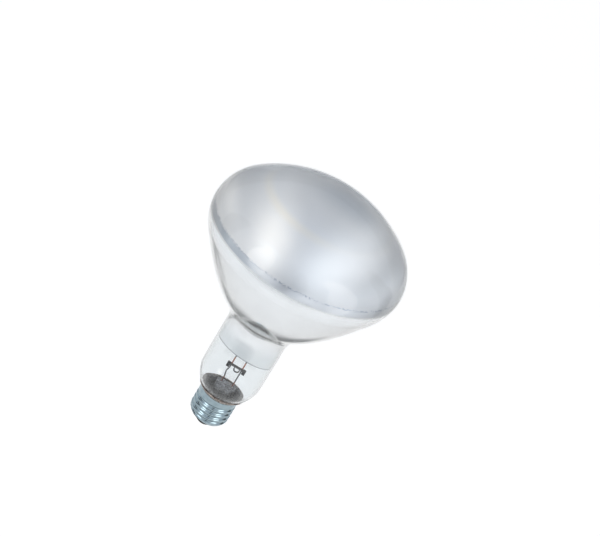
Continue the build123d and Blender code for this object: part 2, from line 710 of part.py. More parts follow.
for number, angle in enumerate(hook_angles, 1):
    parts[f"filament_hook_{number}"] = filament_hook(angle)

os.makedirs("parts", exist_ok=True)
for name, solid in parts.items():
    export_step(solid, f"parts/{name}.step")
    print(name, round(solid.volume, 1), len(solid.solids()), solid.is_valid)
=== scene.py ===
import json
import math

import bpy
from mathutils import Matrix, Vector


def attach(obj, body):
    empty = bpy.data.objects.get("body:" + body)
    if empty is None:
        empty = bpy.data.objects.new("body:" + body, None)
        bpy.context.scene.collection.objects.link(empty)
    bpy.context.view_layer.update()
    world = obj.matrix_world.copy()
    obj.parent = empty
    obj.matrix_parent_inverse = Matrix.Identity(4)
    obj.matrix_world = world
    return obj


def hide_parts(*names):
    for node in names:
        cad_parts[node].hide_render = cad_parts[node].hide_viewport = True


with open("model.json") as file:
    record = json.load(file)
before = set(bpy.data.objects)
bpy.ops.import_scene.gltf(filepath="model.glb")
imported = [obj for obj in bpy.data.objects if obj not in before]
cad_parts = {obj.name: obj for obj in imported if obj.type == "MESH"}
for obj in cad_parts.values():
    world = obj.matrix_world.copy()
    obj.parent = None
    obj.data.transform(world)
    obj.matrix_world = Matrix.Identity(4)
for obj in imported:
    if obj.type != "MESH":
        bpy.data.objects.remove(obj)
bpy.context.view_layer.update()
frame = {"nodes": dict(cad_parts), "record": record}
nodes = frame["nodes"]

MM = 0.001

# Bulb and silvering in millimetres and degrees, as in the part's source
BULB_R = 63.5  # greatest radius
RIM_Z = 146.2  # height of the greatest radius
RIM_ROUND_R = 23.2  # rounding between bowl and face
FACE_R = 83.8  # radius of the domed face
BOWL_FOCUS = 16.8  # focal length of the parabolic bowl
NECK_R = 20.5
NECK_FILLET_R = 22.0  # hollow rounding between neck and bowl
SHOULDER_R = 21.9  # rounding at the foot of the neck
SEAL_R = 11.4  # short tube that goes into the cap
SEAL_Z = 22.2  # its lower end
SEAL_FILLET_R = 2.5  # hollow rounding above that tube
SEAL_FILLET_Z = 23.6  # height of that rounding's centre
GLASS_WALL = 1.2
COAT_GAP = 0.03
COAT_THICK = 0.2
COAT_TOP_Z = 145.6  # upper edge of the silvering, just below the greatest radius
COAT_NECK_Z = 61.4  # lower edge on the axis
COAT_TILT = 14.0  # the lower edge slants by this angle
COAT_TILT_TURN = -18.0  # and is highest this far round from the front

# Rolled screw shell in millimetres, as in the part's source
THREAD_PITCH = 3.629
THREAD_DEPTH = 1.095
CREST_R = 13.225
CREST_FLAT = 0.03  # taken off the crests in rolling
THREAD_TAPER = 0.02  # crests at the foot lie this far inside the skirt
THREAD_TURNS = 5
THREAD_END_Z = 21.0  # height where the groove starts to run out
RUNOUT_TURN = 0.35  # share of a turn that the run-out takes
SKIRT_Z = 23.1  # lower end of the smooth skirt
SHELL_TOP_Z = 25.7
SHELL_FOOT_Z = 4.2
SHELL_FOOT_R = 9.2
SHELL_FOOT_HEIGHT = 5.6  # height of the rounded foot
SHELL_WALL = 0.35

# Trimmed lip of the shell and squeezed cement in millimetres
SHELL_LIP_Z = 4.3  # foot of the shell before its lip is trimmed
SHELL_TRIM_Z = 5.0  # height of the slanting trim on the axis
SHELL_TRIM_SIDE = (-0.82, -0.57)  # side on which the lip is trimmed most
SHELL_TRIM_SLOPE = 0.22
CEMENT_FIT = 0.015  # clearance inside the skirt
CEMENT_LIFT = 0.05  # clearance above the skirt
CEMENT_TOP_Z = 28.2  # top of the cement squeezed out above the skirt, on the axis
CEMENT_SPARE = 4.0  # spun taller by this much and then cut
CEMENT_SLANT = 0.1  # slope of that cut, which stands higher in front
CEMENT_SWELL = 0.32  # thickness outside the glass

# Meshes: steps along the profiles and round the axis
SEAL_STEPS = 8
SHOULDER_STEPS = 18
NECK_STEPS = 6
NECK_FILLET_STEPS = 14
BOWL_STEPS = 40
RIM_STEPS = 30
FACE_STEPS = 24
SHELL_ROWS = 110
SPIN_STEPS = 160
STEEPEST_SLOPE = 88.0  # degrees; the bowl stays below it
HALVINGS = 60  # of the span in which a tangent is looked for
MERGE_DISTANCE = 2e-6  # metres
CREASE = 40.0  # degrees past which an edge is shaded sharp

# Places and sizes of the finishes in millimetres
NECK_SHADE_RISE = (8, 20)  # above the silvering's lower edge, where the neck's painted grey shade gives way to the bowl's tint
FROST_Z = 150.0  # lower edge of the frosting on the face
FROST_RAGGED = 2.0  # how far that edge wanders
FROST_WAVE = 1.1
FROST_EDGE = 1.0  # width of its speckled line
SPECK_SIZE = 0.9
RING_HAZE = 3  # the haze over the silvering's top fades within this depth
RING_START = (-0.2, 0.6)  # the ring's painted shade comes in between these heights over the silvering
RING_SIDE_X = (20, -45)  # and grows from the first of these places to the second
GLINT_RING_R = 39.6  # faint warm ring, a painted reflection, where the dome runs into the rim
GLINT_RING_WIDTH = 9.0
GLINT_RING_STRONG = (-0.67, -0.74, 0)  # side on which it shows most
GLINT_RING_START = 0.3  # share of its radius, towards that side, where it starts to grow
GLINT_RING_WEAK = 0.15  # how much of it is left on the other side
DOME_FADE = 2  # the dome's painted shade fades this far on either side of that ring
CROWN_SHADE = (8, 2, 0)  # middle of the painted grey shade on the dome
CROWN_SHADE_R = (4, 34)  # it fades between these distances
CROWN_SHADE_STRETCH = (1, 1.4, 0)  # and is narrower from front to back
COAT_EDGE = 0.7  # width of the dull line along the silvering's lower edge
FILM_WAVE = 14
FOOT_SHADE_Z = 27.0  # top of the painted dark shade inside the foot of the neck
FOOT_SHADE_RAGGED = 4
FOOT_SHADE_WAVE = 2.2
FOOT_SHADE_EDGE = 0.4
STEM_SHADE_Z = (27.0, 31.0)  # the painted shade on the stem glass clears between these heights
STEM_STREAK = 2
QUARTZ_STREAK = 1.5
COPPER_STRETCHES = ((32, 37), (47.5, 53))  # heights of the red parts of the lead wires
COPPER_FADE = 0.8

# Colours as linear red, green and blue, and other values of the shaders
BOWL_GLASS = (0.945, 0.957, 0.963)
# painted shade: the neck glass is tinted greyer than the bowl's
NECK_SHADE_GLASS = (0.785, 0.82, 0.83)
LIMB_SHADE_GLASS = (0.55, 0.54, 0.51)
LIMB_FACING = 0.35  # where the glass starts to grey towards its outline, partly painted shade
INNER_GLASS = (0.95, 0.955, 0.96)
# painted shade: the dome inside the warm ring is darker
DOME_SHADE_GLASS = (0.88, 0.895, 0.915)
# painted shade on the clear ring over the silvering
RING_SHADE = (0.3, 0.36, 0.43)
# painted shade at the crown of the dome
CROWN_SHADE_TINT = (0.5, 0.56, 0.63)
SPECK_TINT = (0.25, 0.29, 0.36)
# painted reflection: warm ring on the face
GLINT_RING_TINT = (1.0, 0.96, 0.87)
# painted shade inside the foot of the neck
FOOT_SHADE = (0.035, 0.032, 0.03)
FROST_ROUGH = 0.54
RING_ROUGH = 0.34  # of the hazy ring between silvering and frosting
GLASS_IOR = 1.5
FILM_BRIGHT = (0.84, 0.855, 0.865)
FILM_THIN = (0.81, 0.825, 0.835)
FILM_EDGE = (0.3, 0.31, 0.34)
FILM_ROUGH = 0.04
WIRE_GREY = (0.16, 0.16, 0.17)
WIRE_ROUGH = 0.42
COPPER_RED = (0.42, 0.16, 0.1)
STEM_CLEAR = (0.8, 0.8, 0.84)
# painted shade on the stem's flare
STEM_SHADE = (0.07, 0.066, 0.062)
STEM_ROUGH = (0.2, 0.4)
STEM_TRANSMISSION = 0.6  # the stem glass is milky
QUARTZ_CLEAR = (0.97, 0.97, 0.98)
QUARTZ_ROUGH = (0.0, 0.06)
PLAIN_SHINE = 0.5
MATT_SHINE = 0.1
FACING_BLEND = 0.5
FROST_TRACE = 0.05  # roughness of the first frosting, which hides the ring's painted shade

# Noise from 0 to 1: where each finish starts and ends its change, and the detail of the blotches
BLOTCH_SPAN = (0.38, 0.68)
BLOTCH_DETAIL = 4.0
SPECK_SPAN = (0.45, 0.55)
FILM_SPAN = (0.35, 0.7)
STEM_SPAN = (0.3, 0.7)
QUARTZ_SPAN = (0.4, 0.7)

# Camera of the photograph: metres, degrees, a lens in millimetres and a shift in shares of the width
CAMERA_TARGET_Z = 0.110
CAMERA_DISTANCE = 1.101
CAMERA_ELEVATION = 29.99
CAMERA_ROLL = 31.11
CAMERA_LENS = 109.7
CAMERA_SENSOR = 36.0
CAMERA_SHIFT = (0.0311, 0.0377)
CAMERA_REACH = 50

# Studio: places and sizes in metres, turns in degrees
BOTH = ("glossy", "transmission")  # rays that see a card off gloss and through glass
THROUGH = ("transmission",)
FLOOR_Z = -0.30
FLOOR_SIZE = 8.0
FLOOR_COLOUR = (0.9, 0.9, 0.9)
FLOOR_GLOW = 0.52
ROOM_COLOUR = (0.8, 0.82, 0.85)
ROOM_STRENGTH = 0.6
WHITE = (1, 1, 1)
UPRIGHT = 90
CEILING_Z = 2.6
CEILING_SIZE = (14, 14)
CEILING_COLOUR = (0.82, 0.86, 0.93)
LIGHTS_AIM = (0, 0, 0.1)
SOFTBOX_SIZE = (1.1, 1.1)
SOFTBOX_FEATHER = 1.0
SOFTBOXES = (  # name, place, colour and strength
    ("warm softbox", (1.0, -0.65, 1.05), (1, 0.94, 0.85), 3.7),
    ("cool softbox", (-0.69, -0.83, 1.2), (0.9, 0.95, 1), 2.8),
)
TENT_R = 0.42  # strips that stand round the cap
TENT_Z = 0.22
TENT_HEIGHT = 0.7
TENT_STRIPS = (  # turn from the front, width, strength and feather
    (-82, 0.2, 0.02, 0.4),
    (-33, 0.22, 3.4, 0.3),
    (12, 0.14, 0.1, 0.4),
    (58, 0.28, 3.4, 0.3),
    (110, 0.16, 0.2, 0.4),
)
FLAG_LIFT = 0.01  # of the flags over the floor
FLAG_TINT = (1, 1.03, 1.06)
FLAG_FEATHER = 0.8
FLOOR_FLAGS = (  # name, x, y, turn, size, grey and the rays that see it
    ("front flag", -0.3, -0.82, 0, (2.6, 1.15), 0.8, THROUGH),
    ("left flag", -0.235, 0.325, 28, (0.17, 0.36), 0.36, THROUGH),
    ("neck flag left", -0.1, 0.235, -50, (0.28, 0.15), 0.34, BOTH),
    ("neck flag", 0.0, 0.165, 0, (0.3, 0.2), 0.24, BOTH),
    ("neck flag right", 0.11, 0.245, 55, (0.3, 0.15), 0.34, BOTH),
)
FAR_FLAG_PLACE = (0, 0.3, 0.12)
FAR_FLAG_SIZE = (0.5, 0.3)
FAR_FLAG_COLOUR = (0.14, 0.16, 0.2)
FAR_FLAG_FEATHER = 0.6
REAR_CARD_PLACE = (0, 1.7, 0.5)
REAR_CARD_SIZE = (5, 1.7)
REAR_CARD_COLOUR = (0.58, 0.61, 0.66)
REAR_CARD_FEATHER = 0.5
FILL_PLACE = (-1.16, -0.67, 0.74)
FILL_SIZE = (2.2, 1.1)
FILL_COLOUR = (0.95, 0.97, 1)
FILL_STRENGTH = 1.9
FILL_FEATHER = 0.9
CARD_RIM = 0.5  # half the width of a card's own mesh
CARD_INNER_RIM = 0.499  # where a card without a feather is full


def polar(centre, radius, degrees):
    """Point of a profile, as radius and height, on a circle."""
    turn = math.radians(degrees)
    return (centre[0] + radius * math.cos(turn), centre[1] + radius * math.sin(turn))


def arc(centre, radius, start, end, count):
    """Points of an arc of a profile between two angles in degrees."""
    return [polar(centre, radius, start + (end - start) * k / count) for k in range(count + 1)]


def crossing(rising, low, high):
    """Argument where a rising function passes zero."""
    for _ in range(HALVINGS):
        middle = (low + high) / 2
        if rising(middle) < 0:
            low = middle
        else:
            high = middle
    return low


def rim_gap(slope):
    """How far the bowl at a slope lies outside the rim's rounding at that slope."""
    return 2 * BOWL_FOCUS * math.tan(slope) - RIM_ROUND_R * math.sin(slope) - (BULB_R - RIM_ROUND_R)


def neck_gap(slope):
    """How far the bowl at a slope lies outside the neck's fillet at that slope."""
    return 2 * BOWL_FOCUS * math.tan(slope) - NECK_FILLET_R * (1 - math.sin(slope)) - NECK_R


def bulb_profile(inset):
    """Points of the bulb's outline from the seal up to the apex, set in from the outer glass."""
    rim = (BULB_R - RIM_ROUND_R, RIM_Z)
    steepest = math.radians(STEEPEST_SLOPE)
    rim_slope = crossing(rim_gap, 0, steepest)
    neck_slope = crossing(neck_gap, 0, steepest)
    bowl_top = 2 * BOWL_FOCUS * math.tan(rim_slope)
    bowl_low = 2 * BOWL_FOCUS * math.tan(neck_slope)
    vertex_z = RIM_Z - RIM_ROUND_R * math.cos(rim_slope) - bowl_top**2 / (4 * BOWL_FOCUS)
    bowl_low_z = vertex_z + bowl_low**2 / (4 * BOWL_FOCUS)
    fillet = (NECK_R + NECK_FILLET_R, bowl_low_z - NECK_FILLET_R * math.cos(neck_slope))
    face = (0.0, RIM_Z - math.sqrt((FACE_R - RIM_ROUND_R) ** 2 - rim[0] ** 2))
    seal = (SEAL_R + SEAL_FILLET_R, SEAL_FILLET_Z)
    across = seal[0] - (NECK_R - SHOULDER_R)
    rise = math.sqrt((SHOULDER_R + SEAL_FILLET_R) ** 2 - across**2)
    shoulder = (NECK_R - SHOULDER_R, SEAL_FILLET_Z + rise)
    seal_turn = math.degrees(math.atan2(rise, -across))
    face_turn = math.degrees(math.atan2(RIM_Z - face[1], rim[0]))
    neck_height = fillet[1] - shoulder[1]
    neck = [(NECK_R - inset, shoulder[1] + neck_height * k / NECK_STEPS) for k in range(1, NECK_STEPS)]
    bowl = []
    for step in range(1, BOWL_STEPS):
        r = bowl_low + (bowl_top - bowl_low) * step / BOWL_STEPS
        z = vertex_z + r**2 / (4 * BOWL_FOCUS)
        slope = math.atan(r / (2 * BOWL_FOCUS))
        bowl.append((r - inset * math.sin(slope), z + inset * math.cos(slope)))
    outline = [(SEAL_R - inset, SEAL_Z)]
    outline += arc(seal, SEAL_FILLET_R + inset, 180, seal_turn, SEAL_STEPS)
    outline += arc(shoulder, SHOULDER_R - inset, seal_turn - 180, 0, SHOULDER_STEPS)[1:]
    outline += neck
    outline += arc(fillet, NECK_FILLET_R + inset, 180, 90 + math.degrees(neck_slope), NECK_FILLET_STEPS)
    outline += bowl
    outline += arc(rim, RIM_ROUND_R - inset, math.degrees(rim_slope) - 90, face_turn, RIM_STEPS)
    outline += arc(face, FACE_R - inset, face_turn, 90, FACE_STEPS)[1:]
    return outline


def deselect_all():
    bpy.ops.object.select_all(action="DESELECT")


def spun_piece(name, profile):
    """Thin skin turned about the lamp's axis from a profile in millimetres."""
    deselect_all()
    start = Vector((profile[0][0], 0, profile[0][1])) * MM
    bpy.ops.mesh.primitive_plane_add(size=MM, location=start)
    piece = bpy.context.object
    piece.name = name
    bpy.ops.object.transform_apply(location=True, rotation=True, scale=True)
    bpy.ops.object.mode_set(mode="EDIT")
    bpy.ops.mesh.select_all(action="SELECT")
    bpy.ops.mesh.merge(type="CENTER")
    for (r0, z0), (r1, z1) in zip(profile, profile[1:]):
        move = ((r1 - r0) * MM, 0, (z1 - z0) * MM)
        bpy.ops.mesh.extrude_vertices_move(TRANSFORM_OT_translate={"value": move})
    bpy.ops.mesh.select_all(action="SELECT")
    bpy.ops.mesh.spin(steps=SPIN_STEPS, angle=2 * math.pi, center=(0, 0, 0), axis=(0, 0, 1))
    bpy.ops.mesh.select_all(action="SELECT")
    bpy.ops.mesh.remove_doubles(threshold=MERGE_DISTANCE)
    bpy.ops.mesh.normals_make_consistent(inside=False)
    bpy.ops.object.mode_set(mode="OBJECT")
    bpy.ops.object.shade_smooth()
    return piece


def shade_by_crease(piece):
    """Smooth shading that keeps the piece's sharp edges."""
    deselect_all()
    piece.select_set(True)
    bpy.ops.object.shade_smooth_by_angle(angle=math.radians(CREASE))


def thicken(piece, wall):
    """Give a skin its wall on the inside; the inner faces take the piece's second material."""
    bpy.context.view_layer.objects.active = piece
    solid = piece.modifiers.new("wall", "SOLIDIFY")
    solid.thickness = wall * MM
    solid.offset = -1
    solid.use_even_offset = True
    solid.material_offset = 1
    solid.material_offset_rim = 0
    bpy.ops.object.modifier_apply(modifier="wall")
    shade_by_crease(piece)


def cut_off(piece, point, normal):
    """Cut away what lies on the normal's side of a plane."""
    bpy.context.view_layer.objects.active = piece
    bpy.ops.object.mode_set(mode="EDIT")
    bpy.ops.mesh.select_all(action="SELECT")
    bpy.ops.mesh.bisect(plane_co=point, plane_no=normal, clear_outer=True)
    bpy.ops.object.mode_set(mode="OBJECT")


def close_cut(piece):
    """Join the two open edges that a cut leaves on a hollow ring."""
    bpy.ops.object.mode_set(mode="EDIT")
    bpy.ops.mesh.select_all(action="DESELECT")
    bpy.ops.mesh.select_non_manifold()
    bpy.ops.mesh.bridge_edge_loops()
    bpy.ops.mesh.select_all(action="SELECT")
    bpy.ops.mesh.normals_make_consistent(inside=False)
    bpy.ops.object.mode_set(mode="OBJECT")
    shade_by_crease(piece)


def coat_slant():
    """Direction, away from the silvering, that its slanting lower edge is cut square to."""
    turn = Matrix.Rotation(math.radians(COAT_TILT_TURN), 3, "Z")
    tilt = Matrix.Rotation(math.radians(-COAT_TILT), 3, "X")
    return turn @ tilt @ Vector((0, 0, -1))


def new_material(name):
    """Material with its node tree and its shader."""
    material = bpy.data.materials.new(name)
    material.use_nodes = True
    shader = material.node_tree.nodes["Principled BSDF"]
    return material, material.node_tree, shader


def paint(piece, *materials):
    """Give a piece these materials and no others."""
    piece.data.materials.clear()
    for material in materials:
        piece.data.materials.append(material)


def feed(tree, value, socket):
    """Link a socket, or set a plain number or colour."""
    if isinstance(value, (int, float)):
        socket.default_value = value
    elif isinstance(value, tuple):
        socket.default_value = (*value, 1) if len(socket.default_value) == 4 else value
    else:
        tree.links.new(value, socket)


def calculate(tree, operation, first, second=0.0, third=0.0):
    """Result of a sum on numbers or sockets."""
    node = tree.nodes.new("ShaderNodeMath")
    node.operation = operation
    for value, socket in zip((first, second, third), node.inputs):
        feed(tree, value, socket)
    return node.outputs[0]


def ramp(tree, value, start, end, low=0.0, high=1.0):
    """Smooth step of a socket between two values."""
    node = tree.nodes.new("ShaderNodeMapRange")
    node.interpolation_type = "SMOOTHSTEP"
    feed(tree, value, node.inputs["Value"])
    node.inputs["From Min"].default_value = start
    node.inputs["From Max"].default_value = end
    node.inputs["To Min"].default_value = low
    node.inputs["To Max"].default_value = high
    return node.outputs[0]


def mix_colour(tree, mask, first, second):
    """Colour that goes from the first to the second with a mask."""
    node = tree.nodes.new("ShaderNodeMix")
    node.data_type = "RGBA"
    feed(tree, mask, node.inputs["Factor"])
    feed(tree, first, node.inputs[6])
    feed(tree, second, node.inputs[7])
    return node.outputs[2]


def place_on(tree):
    """Place on the object in its own coordinates, in metres."""
    return tree.nodes.new("ShaderNodeTexCoord").outputs["Object"]


def along(tree, axis):
    """Place on the object along one axis."""
    split = tree.nodes.new("ShaderNodeSeparateXYZ")
    tree.links.new(place_on(tree), split.inputs[0])
    return split.outputs[axis]


def height_on(tree):
    """Height over the centre contact."""
    return along(tree, "Z")


def vector_sum(tree, operation, first, second=(0, 0, 0)):
    """Result of a sum on vectors or sockets: a vector, or a number for a length or a product."""
    node = tree.nodes.new("ShaderNodeVectorMath")
    node.operation = operation
    feed(tree, first, node.inputs[0])
    feed(tree, second, node.inputs[1])
    return node.outputs["Value" if operation in ("LENGTH", "DOT_PRODUCT") else "Vector"]


def radius_on(tree):
    """Distance from the lamp's axis."""
    return vector_sum(tree, "LENGTH", vector_sum(tree, "MULTIPLY", place_on(tree), (1, 1, 0)))


def noise_on(tree, size, detail=2.0):
    """Noise between 0 and 1 whose lumps are about this many millimetres."""
    node = tree.nodes.new("ShaderNodeTexNoise")
    node.inputs["Scale"].default_value = 1 / (size * MM)
    node.inputs["Detail"].default_value = detail
    tree.links.new(place_on(tree), node.inputs["Vector"])
    return node.outputs["Fac"]


def ragged_height(tree, wave, reach):
    """Height that wanders upwards by noise, at most by a reach in millimetres."""
    return calculate(tree, "MULTIPLY_ADD", noise_on(tree, wave), reach * MM, height_on(tree))


def between(tree, low, high, fade):
    """One between two heights in millimetres, with soft ends."""
    height = height_on(tree)
    start = ramp(tree, height, (low - fade) * MM, (low + fade) * MM)
    end = ramp(tree, height, (high + fade) * MM, (high - fade) * MM)
    return calculate(tree, "MULTIPLY", start, end)


def blotches_group():
    """Blotches between a clean and a stained finish, or painted glints on the cement, with their roughness
    and relief.
    """
    group = bpy.data.node_groups.new("blotches", "ShaderNodeTree")
    for name, kind, way in (
        ("Place", "NodeSocketVector", "INPUT"),
        ("Clean", "NodeSocketColor", "INPUT"),
        ("Stained or glinting", "NodeSocketColor", "INPUT"),
        ("Smooth", "NodeSocketFloat", "INPUT"),
        ("Rough", "NodeSocketFloat", "INPUT"),
        ("Scale", "NodeSocketFloat", "INPUT"),
        ("Colour", "NodeSocketColor", "OUTPUT"),
        ("Roughness", "NodeSocketFloat", "OUTPUT"),
        ("Relief", "NodeSocketFloat", "OUTPUT"),
    ):
        group.interface.new_socket(name=name, in_out=way, socket_type=kind)
    given = group.nodes.new("NodeGroupInput")
    result = group.nodes.new("NodeGroupOutput")
    noise = group.nodes.new("ShaderNodeTexNoise")
    noise.inputs["Detail"].default_value = BLOTCH_DETAIL
    group.links.new(given.outputs["Place"], noise.inputs["Vector"])
    group.links.new(given.outputs["Scale"], noise.inputs["Scale"])
    blotch = ramp(group, noise.outputs["Fac"], *BLOTCH_SPAN)
    colour = mix_colour(group, blotch, given.outputs["Clean"], given.outputs["Stained or glinting"])
    spread = calculate(group, "SUBTRACT", given.outputs["Rough"], given.outputs["Smooth"])
    rough = calculate(group, "MULTIPLY_ADD", blotch, spread, given.outputs["Smooth"])
    group.links.new(colour, result.inputs["Colour"])
    group.links.new(rough, result.inputs["Roughness"])
    group.links.new(noise.outputs["Fac"], result.inputs["Relief"])
    return group


BLOTCHES = blotches_group()


def blotched(name, clean, stained_or_glinting, rough, size, metallic=1.0, relief=0.01, shine=PLAIN_SHINE):
    """Blotched finish, worn on most pieces and painted glints and light on the cement: two colours, a range
    of roughness, and the size and relief of the blotches in millimetres.
    """
    material, tree, shader = new_material(name)
    shader.inputs["Metallic"].default_value = metallic
    shader.inputs["Specular IOR Level"].default_value = shine
    blotch_node = tree.nodes.new("ShaderNodeGroup")
    blotch_node.node_tree = BLOTCHES
    blotch_node.inputs["Clean"].default_value = (*clean, 1)
    blotch_node.inputs["Stained or glinting"].default_value = (*stained_or_glinting, 1)
    blotch_node.inputs["Smooth"].default_value, blotch_node.inputs["Rough"].default_value = rough
    blotch_node.inputs["Scale"].default_value = 1 / (size * MM)
    bump = tree.nodes.new("ShaderNodeBump")
    bump.inputs["Distance"].default_value = relief * MM
    tree.links.new(place_on(tree), blotch_node.inputs["Place"])
    tree.links.new(blotch_node.outputs["Colour"], shader.inputs["Base Color"])
    tree.links.new(blotch_node.outputs["Roughness"], shader.inputs["Roughness"])
    tree.links.new(blotch_node.outputs["Relief"], bump.inputs["Height"])
    tree.links.new(bump.outputs["Normal"], shader.inputs["Normal"])
    return material


def glass(name, transmission=1.0):
    """Smooth glass, whose colour the caller links."""
    material, tree, shader = new_material(name)
    shader.inputs["Roughness"].default_value = 0.0
    shader.inputs["IOR"].default_value = GLASS_IOR
    shader.inputs["Transmission Weight"].default_value = transmission
    return material, tree, shader


def bulb_outside():
    """Cool clear glass, greyer where it is seen edge on, partly for the longer path through it and partly as
    painted shade, with painted grey shade in the neck.
    """
    material, tree, shader = glass("bulb glass")
    edge = tree.nodes.new("ShaderNodeLayerWeight")
    edge.inputs["Blend"].default_value = FACING_BLEND
    neck_z, bowl_z = ((COAT_NECK_Z + rise) * MM for rise in NECK_SHADE_RISE)
    colour = mix_colour(tree, ramp(tree, height_on(tree), bowl_z, neck_z), BOWL_GLASS, NECK_SHADE_GLASS)
    limb_shade = ramp(tree, edge.outputs["Facing"], LIMB_FACING, 1.0)
    tree.links.new(mix_colour(tree, limb_shade, colour, LIMB_SHADE_GLASS), shader.inputs["Base Color"])
    return material


def foot_shade(tree):
    """Ragged painted shade at the foot of the neck, a dark band for the shaded inside of the cap."""
    ragged = ragged_height(tree, FOOT_SHADE_WAVE, FOOT_SHADE_RAGGED)
    top = (FOOT_SHADE_Z + FOOT_SHADE_RAGGED / 2) * MM
    return ramp(tree, ragged, top + FOOT_SHADE_EDGE * MM, top - FOOT_SHADE_EDGE * MM)


def glint_ring(tree):
    """Painted reflection: faint, uneven warm ring on the face."""
    away = calculate(tree, "ABSOLUTE", calculate(tree, "SUBTRACT", radius_on(tree), GLINT_RING_R * MM))
    line = ramp(tree, away, GLINT_RING_WIDTH / 2 * MM, 0)
    above = calculate(tree, "GREATER_THAN", height_on(tree), FROST_Z * MM)
    towards = vector_sum(tree, "DOT_PRODUCT", place_on(tree), GLINT_RING_STRONG)
    reach = GLINT_RING_R * MM
    uneven = ramp(tree, towards, reach * GLINT_RING_START, reach, GLINT_RING_WEAK, 1.0)
    return calculate(tree, "MULTIPLY", calculate(tree, "MULTIPLY", line, above), uneven)


def frosted_dome(tree):
    """One on the frosted dome inside the painted warm ring."""
    dome = ramp(tree, radius_on(tree), (GLINT_RING_R + DOME_FADE) * MM, (GLINT_RING_R - DOME_FADE) * MM)
    return calculate(tree, "MULTIPLY", dome, calculate(tree, "GREATER_THAN", height_on(tree), FROST_Z * MM))


def crown_shade(tree, dome):
    """Painted shade: soft grey patch at the crown of the dome."""
    off = vector_sum(tree, "SUBTRACT", place_on(tree), tuple(place * MM for place in CROWN_SHADE))
    off = vector_sum(tree, "LENGTH", vector_sum(tree, "MULTIPLY", off, CROWN_SHADE_STRETCH))
    full_r, end_r = CROWN_SHADE_R
    return calculate(tree, "MULTIPLY", ramp(tree, off, end_r * MM, full_r * MM), dome)


def ring_over_silvering(tree, frost):
    """Painted blue-grey shade on the unfrosted ring over the silvering, stronger on one side of the lamp."""
    low, high = ((COAT_TOP_Z + rise) * MM for rise in RING_START)
    faint_x, full_x = (place * MM for place in RING_SIDE_X)
    ring = ramp(tree, height_on(tree), low, high)
    ring = calculate(tree, "MULTIPLY", ring, ramp(tree, frost, FROST_TRACE, 0))
    return calculate(tree, "MULTIPLY", ring, ramp(tree, along(tree, "X"), faint_x, full_x))


def bulb_inside():
    """Inner side of the bulb: clear in the neck, hazy in a ring above the silvering, etched above that."""
    material, tree, shader = glass("bulb glass inside")
    ragged = ragged_height(tree, FROST_WAVE, FROST_RAGGED)
    edge = (FROST_Z + FROST_RAGGED / 2) * MM
    width = FROST_EDGE * MM
    frost = ramp(tree, ragged, edge - width / 2, edge + width / 2, 0, FROST_ROUGH - RING_ROUGH)
    haze = ramp(tree, height_on(tree), (COAT_TOP_Z - RING_HAZE) * MM, COAT_TOP_Z * MM, 0, RING_ROUGH)
    tree.links.new(calculate(tree, "ADD", frost, haze), shader.inputs["Roughness"])
    below = ramp(tree, ragged, edge - width, edge)
    above = ramp(tree, ragged, edge + width, edge)
    line = calculate(tree, "MULTIPLY", below, above)
    grains = ramp(tree, noise_on(tree, SPECK_SIZE, detail=0.0), *SPECK_SPAN)
    dome = frosted_dome(tree)
    colour = mix_colour(tree, dome, INNER_GLASS, DOME_SHADE_GLASS)
    for mask, tint in (
        (ring_over_silvering(tree, frost), RING_SHADE),
        (crown_shade(tree, dome), CROWN_SHADE_TINT),
        (foot_shade(tree), FOOT_SHADE),
        (calculate(tree, "MULTIPLY", line, grains), SPECK_TINT),
        (glint_ring(tree), GLINT_RING_TINT),
    ):
        colour = mix_colour(tree, mask, colour, tint)
    tree.links.new(colour, shader.inputs["Base Color"])
    return material


def silver_film():
    """Mirror film, uneven in places, with a dull line along its slanting edge."""
    material, tree, shader = new_material("silver film")
    shader.inputs["Metallic"].default_value = 1.0
    shader.inputs["Roughness"].default_value = FILM_ROUGH
    reach = vector_sum(tree, "DOT_PRODUCT", place_on(tree), tuple(-coat_slant()))
    edge = -coat_slant().z * COAT_NECK_Z * MM
    near = ramp(tree, reach, edge + COAT_EDGE * MM, edge + COAT_EDGE * MM / 3)
    thin = ramp(tree, noise_on(tree, FILM_WAVE), *FILM_SPAN)
    colour = mix_colour(tree, thin, FILM_BRIGHT, FILM_THIN)
    tree.links.new(mix_colour(tree, near, colour, FILM_EDGE), shader.inputs["Base Color"])
    return material


def make_bulb():
    """Blown bulb: face, bowl and neck."""
    bulb = spun_piece("bulb", bulb_profile(0))
    paint(bulb, bulb_outside(), bulb_inside())
    thicken(bulb, GLASS_WALL)
    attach(bulb, "root")
    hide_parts("glass_bulb")


def make_silvering():
    """Mirror film inside the bowl, from the slanting edge in the neck to the level edge below the rim."""
    coat = spun_piece("silvering", bulb_profile(GLASS_WALL + COAT_GAP))
    cut_off(coat, (0, 0, COAT_TOP_Z * MM), (0, 0, 1))
    cut_off(coat, (0, 0, COAT_NECK_Z * MM), coat_slant())
    inside = blotched(
        "silver film inside",
        clean=(0.94, 0.95, 0.96),
        stained_or_glinting=(0.9, 0.91, 0.92),
        rough=(0.04, 0.08),
        size=8,
        relief=0.0,
    )
    paint(coat, silver_film(), inside)
    thicken(coat, COAT_THICK)
    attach(coat, "root")
    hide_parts("reflector_coating")


